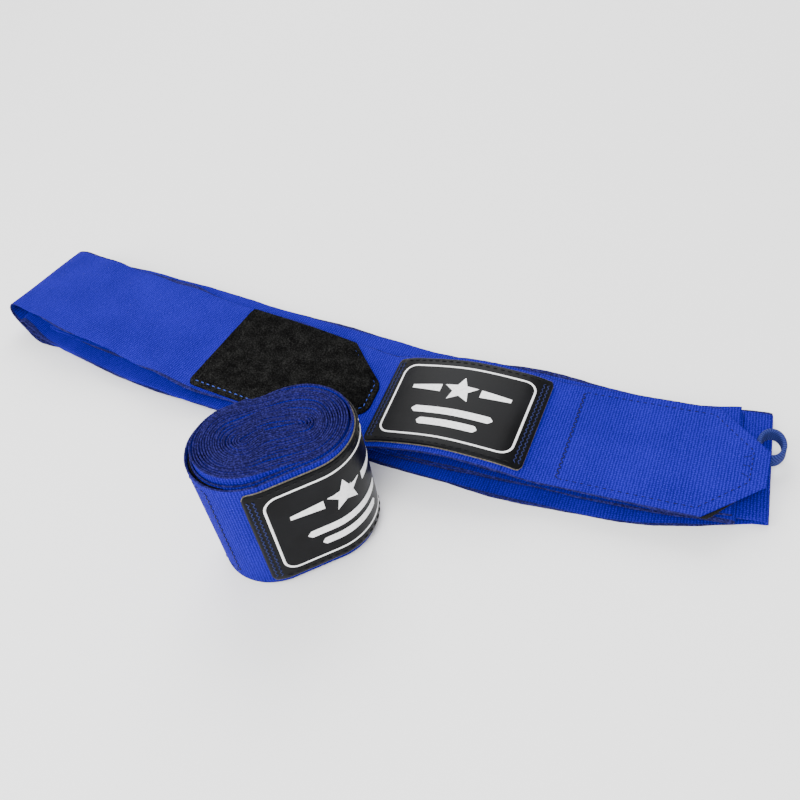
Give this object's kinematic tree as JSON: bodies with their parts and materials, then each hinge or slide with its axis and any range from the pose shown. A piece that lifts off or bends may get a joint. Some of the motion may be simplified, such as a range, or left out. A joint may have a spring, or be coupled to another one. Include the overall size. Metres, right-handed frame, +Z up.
{
  "type": "hand wrap pair",
  "caption": "Long elastic fabric strap with a thumb loop, a label and a hook and pile closure, folded flat; its mate is rolled up and stands on edge.",
  "frame": {"origin": "on the flat underside of the folded stack, on the strap's centreline, halfway along the stack", "axes": "+X along the chord of the folded stack towards the closure tab, +Y across it away from the roll, +Z up"},
  "size_m": [0.3469, 0.1281, 0.05],
  "materials": {
    "strap_weave": "royal blue elastic cotton weave with fine cross ribs and darker selvedges",
    "label_face": "black synthetic leather, half gloss",
    "label_print": "white printed ink",
    "dark_thread": "dark sewing thread",
    "blue_thread": "light blue sewing thread",
    "pile_fabric": "black brushed loop pile",
    "hook_tape": "black woven tape with fine plastic hooks",
    "loop_tape": "narrow greyish blue woven tape"
  },
  "bodies": {
    "folded_wrap": {"folded_strap": "strap_weave", "folded_label": "label_face", "folded_label_border": "label_print", "folded_label_emblem": "label_print", "folded_label_stitching": "dark_thread", "folded_pile_patch": "pile_fabric", "folded_pile_stitching": "blue_thread", "folded_thumb_bartack": "dark_thread"},
    "closure_tab": {"folded_tab": "strap_weave", "folded_hook_patch": "hook_tape", "folded_hook_stitching": "dark_thread"},
    "thumb_loop": {"folded_thumb_loop": "loop_tape"},
    "rolled_wrap": {"rolled_strap": "strap_weave", "rolled_label": "label_face", "rolled_label_border": "label_print", "rolled_label_emblem": "label_print", "rolled_label_stitching": "dark_thread", "rolled_pile_patch": "pile_fabric", "rolled_thumb_loop": "loop_tape"},
    "rolled_tab": {"rolled_tab": "strap_weave", "rolled_hook_patch": "hook_tape", "rolled_hook_stitching": "dark_thread"}
  },
  "joints": [
    {"name": "closure_tab_lift", "type": "hinge", "parent": "folded_wrap", "child": "closure_tab", "pos_m": [0.099, 0.0049, 0.01085], "axis": [0.0988, -0.9951, 0], "range_deg": [0, 140]},
    {"name": "thumb_loop_swing", "type": "hinge", "parent": "folded_wrap", "child": "thumb_loop", "pos_m": [0.16279, 0.01832, 0.00565], "axis": [0, 0, 1], "range_deg": [-15, 15]},
    {"name": "roll_lift", "type": "slide", "parent": "folded_wrap", "child": "rolled_wrap", "axis": [0, 0, 1], "range_m": [0, 0.12]},
    {"name": "rolled_tab_peel", "type": "hinge", "parent": "rolled_wrap", "child": "rolled_tab", "pos_m": [0.0271, -0.08753, 0.025], "axis": [0, 0, 1], "range_deg": [0, 90]}
  ]
}
